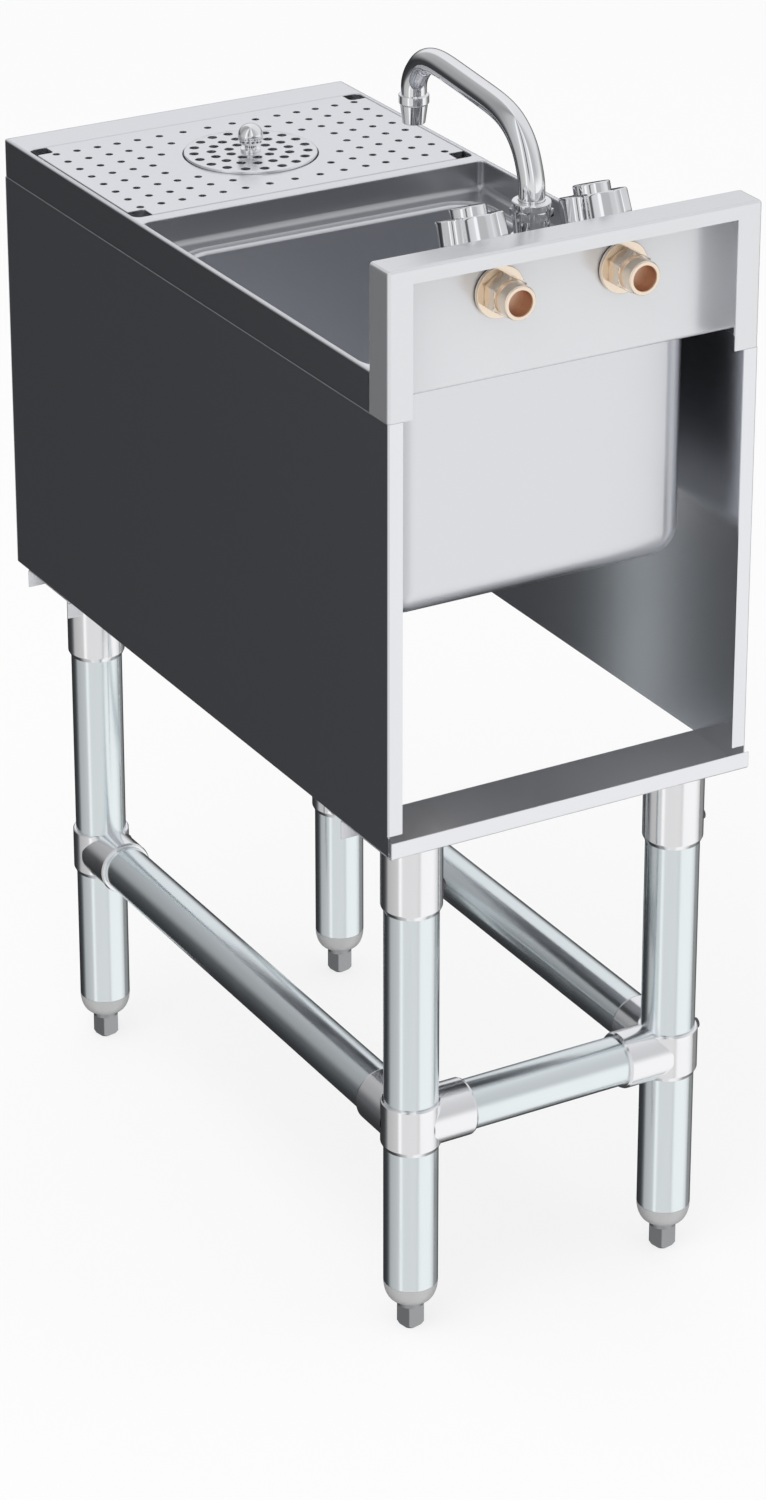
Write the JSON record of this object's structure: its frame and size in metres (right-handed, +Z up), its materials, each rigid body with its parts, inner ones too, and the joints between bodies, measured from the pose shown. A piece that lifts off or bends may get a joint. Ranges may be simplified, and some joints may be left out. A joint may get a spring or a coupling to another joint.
{
  "type": "cocktail station",
  "caption": "Narrow stainless underbar station with a perforated drip plate, press-down glass rinser, deep sink bowl, low backsplash, swing-spout faucet and braced tube legs.",
  "frame": {"origin": "on the floor, under the centre of the overall length and width", "axes": "+Z up, +Y from the front skirt to the backsplash, +X to the right of a person who stands at the front"},
  "size_m": [0.3048, 0.6158, 0.9434],
  "materials": {
    "sheet": "fine satin sheet steel",
    "panel": "fine satin sheet steel",
    "tube": "polished tube",
    "fitting": "satin cast fitting",
    "screw": "dark socket screw",
    "insert": "matte grey",
    "foot": "dull grey metal",
    "chrome": "polished chrome plate",
    "spring": "drawn spring wire",
    "brass": "pale turned brass",
    "rubber": "black rubber"
  },
  "bodies": {
    "station": {"deck": "sheet", "backsplash": "sheet", "drip_pan": "sheet", "sink_well": "sheet", "sink_bowl": "sheet", "side_panel_right": "panel", "side_panel_left": "panel", "front_panel": "panel", "front_channel": "panel", "rear_channel": "panel", "leg_sockets": "fitting", "leg_front_right": "tube", "leg_front_left": "tube", "leg_rear_right": "tube", "leg_rear_left": "tube", "tee_front_right": "fitting", "tee_front_left": "fitting", "tee_rear_right": "fitting", "tee_rear_left": "fitting", "brace_right": "tube", "brace_left": "tube", "brace_rear": "tube", "set_screws": "screw", "foot_inserts": "insert", "rinser_spring": "spring", "rinser_body": "chrome", "rinser_washer": "rubber", "rinser_lock_nut": "brass", "rinser_inlet": "brass", "tray_drain": "chrome", "tray_drain_nut": "brass", "drain_flange": "chrome", "drain_gasket": "rubber", "drain_lock_nut": "brass", "tail_nut": "brass", "tailpiece": "chrome", "faucet_body": "chrome", "escutcheons": "chrome", "inlet_gaskets": "rubber", "inlet_washers": "brass", "inlet_adapters": "brass", "valve_bonnets": "chrome", "spout_nut": "chrome"},
    "plate": {"perforated_plate": "sheet"},
    "rinser_head": {"press_disc": "sheet", "spray_nozzle": "chrome"},
    "valve_stem": {"rinser_stem": "chrome"},
    "drain_strainer": {"strainer": "sheet"},
    "hot_knob": {"hot_handle": "chrome", "hot_stem": "brass"},
    "cold_knob": {"cold_handle": "chrome", "cold_stem": "brass"},
    "swing_spout": {"spout": "chrome", "spout_ring": "rubber", "aerator": "chrome"},
    "front_right_foot": {"foot_front_right": "foot"},
    "front_left_foot": {"foot_front_left": "foot"},
    "rear_right_foot": {"foot_rear_right": "foot"},
    "rear_left_foot": {"foot_rear_left": "foot"}
  },
  "joints": [
    {"name": "spout_swing", "type": "hinge", "parent": "station", "child": "swing_spout", "pos_m": [0, 0.2379, 0.86], "axis": [0, 0, 1], "continuous": true},
    {"name": "hot_turn", "type": "hinge", "parent": "station", "child": "hot_knob", "pos_m": [-0.0508, 0.24743, 0.83718], "axis": [0, -0.342, 0.9397], "range_deg": [0, 90]},
    {"name": "cold_turn", "type": "hinge", "parent": "station", "child": "cold_knob", "pos_m": [0.0508, 0.24743, 0.83718], "axis": [0, -0.342, 0.9397], "range_deg": [-90, 0]},
    {"name": "plate_lift", "type": "slide", "parent": "station", "child": "plate", "axis": [0, 0, 1], "range_m": [0, 0.1]},
    {"name": "rinser_press", "type": "slide", "parent": "plate", "child": "rinser_head", "axis": [0, 0, -1], "range_m": [0, 0.005]},
    {"name": "stem_press", "type": "slide", "parent": "station", "child": "valve_stem", "axis": [0, 0, -1], "range_m": [0, 0.005], "stiffness_N_per_m": 3000, "springref_m": -0.003, "deforming": ["rinser_spring"]},
    {"name": "strainer_lift", "type": "slide", "parent": "station", "child": "drain_strainer", "axis": [0, 0, 1], "range_m": [0, 0.15]},
    {"name": "front_right_foot_level", "type": "slide", "parent": "station", "child": "front_right_foot", "axis": [0, 0, -1], "range_m": [0, 0.025]},
    {"name": "front_left_foot_level", "type": "slide", "parent": "station", "child": "front_left_foot", "axis": [0, 0, -1], "range_m": [0, 0.025]},
    {"name": "rear_right_foot_level", "type": "slide", "parent": "station", "child": "rear_right_foot", "axis": [0, 0, -1], "range_m": [0, 0.025]},
    {"name": "rear_left_foot_level", "type": "slide", "parent": "station", "child": "rear_left_foot", "axis": [0, 0, -1], "range_m": [0, 0.025]}
  ],
  "couplings": [
    {"joint": "stem_press", "follows": "rinser_press", "ratio": 1}
  ]
}
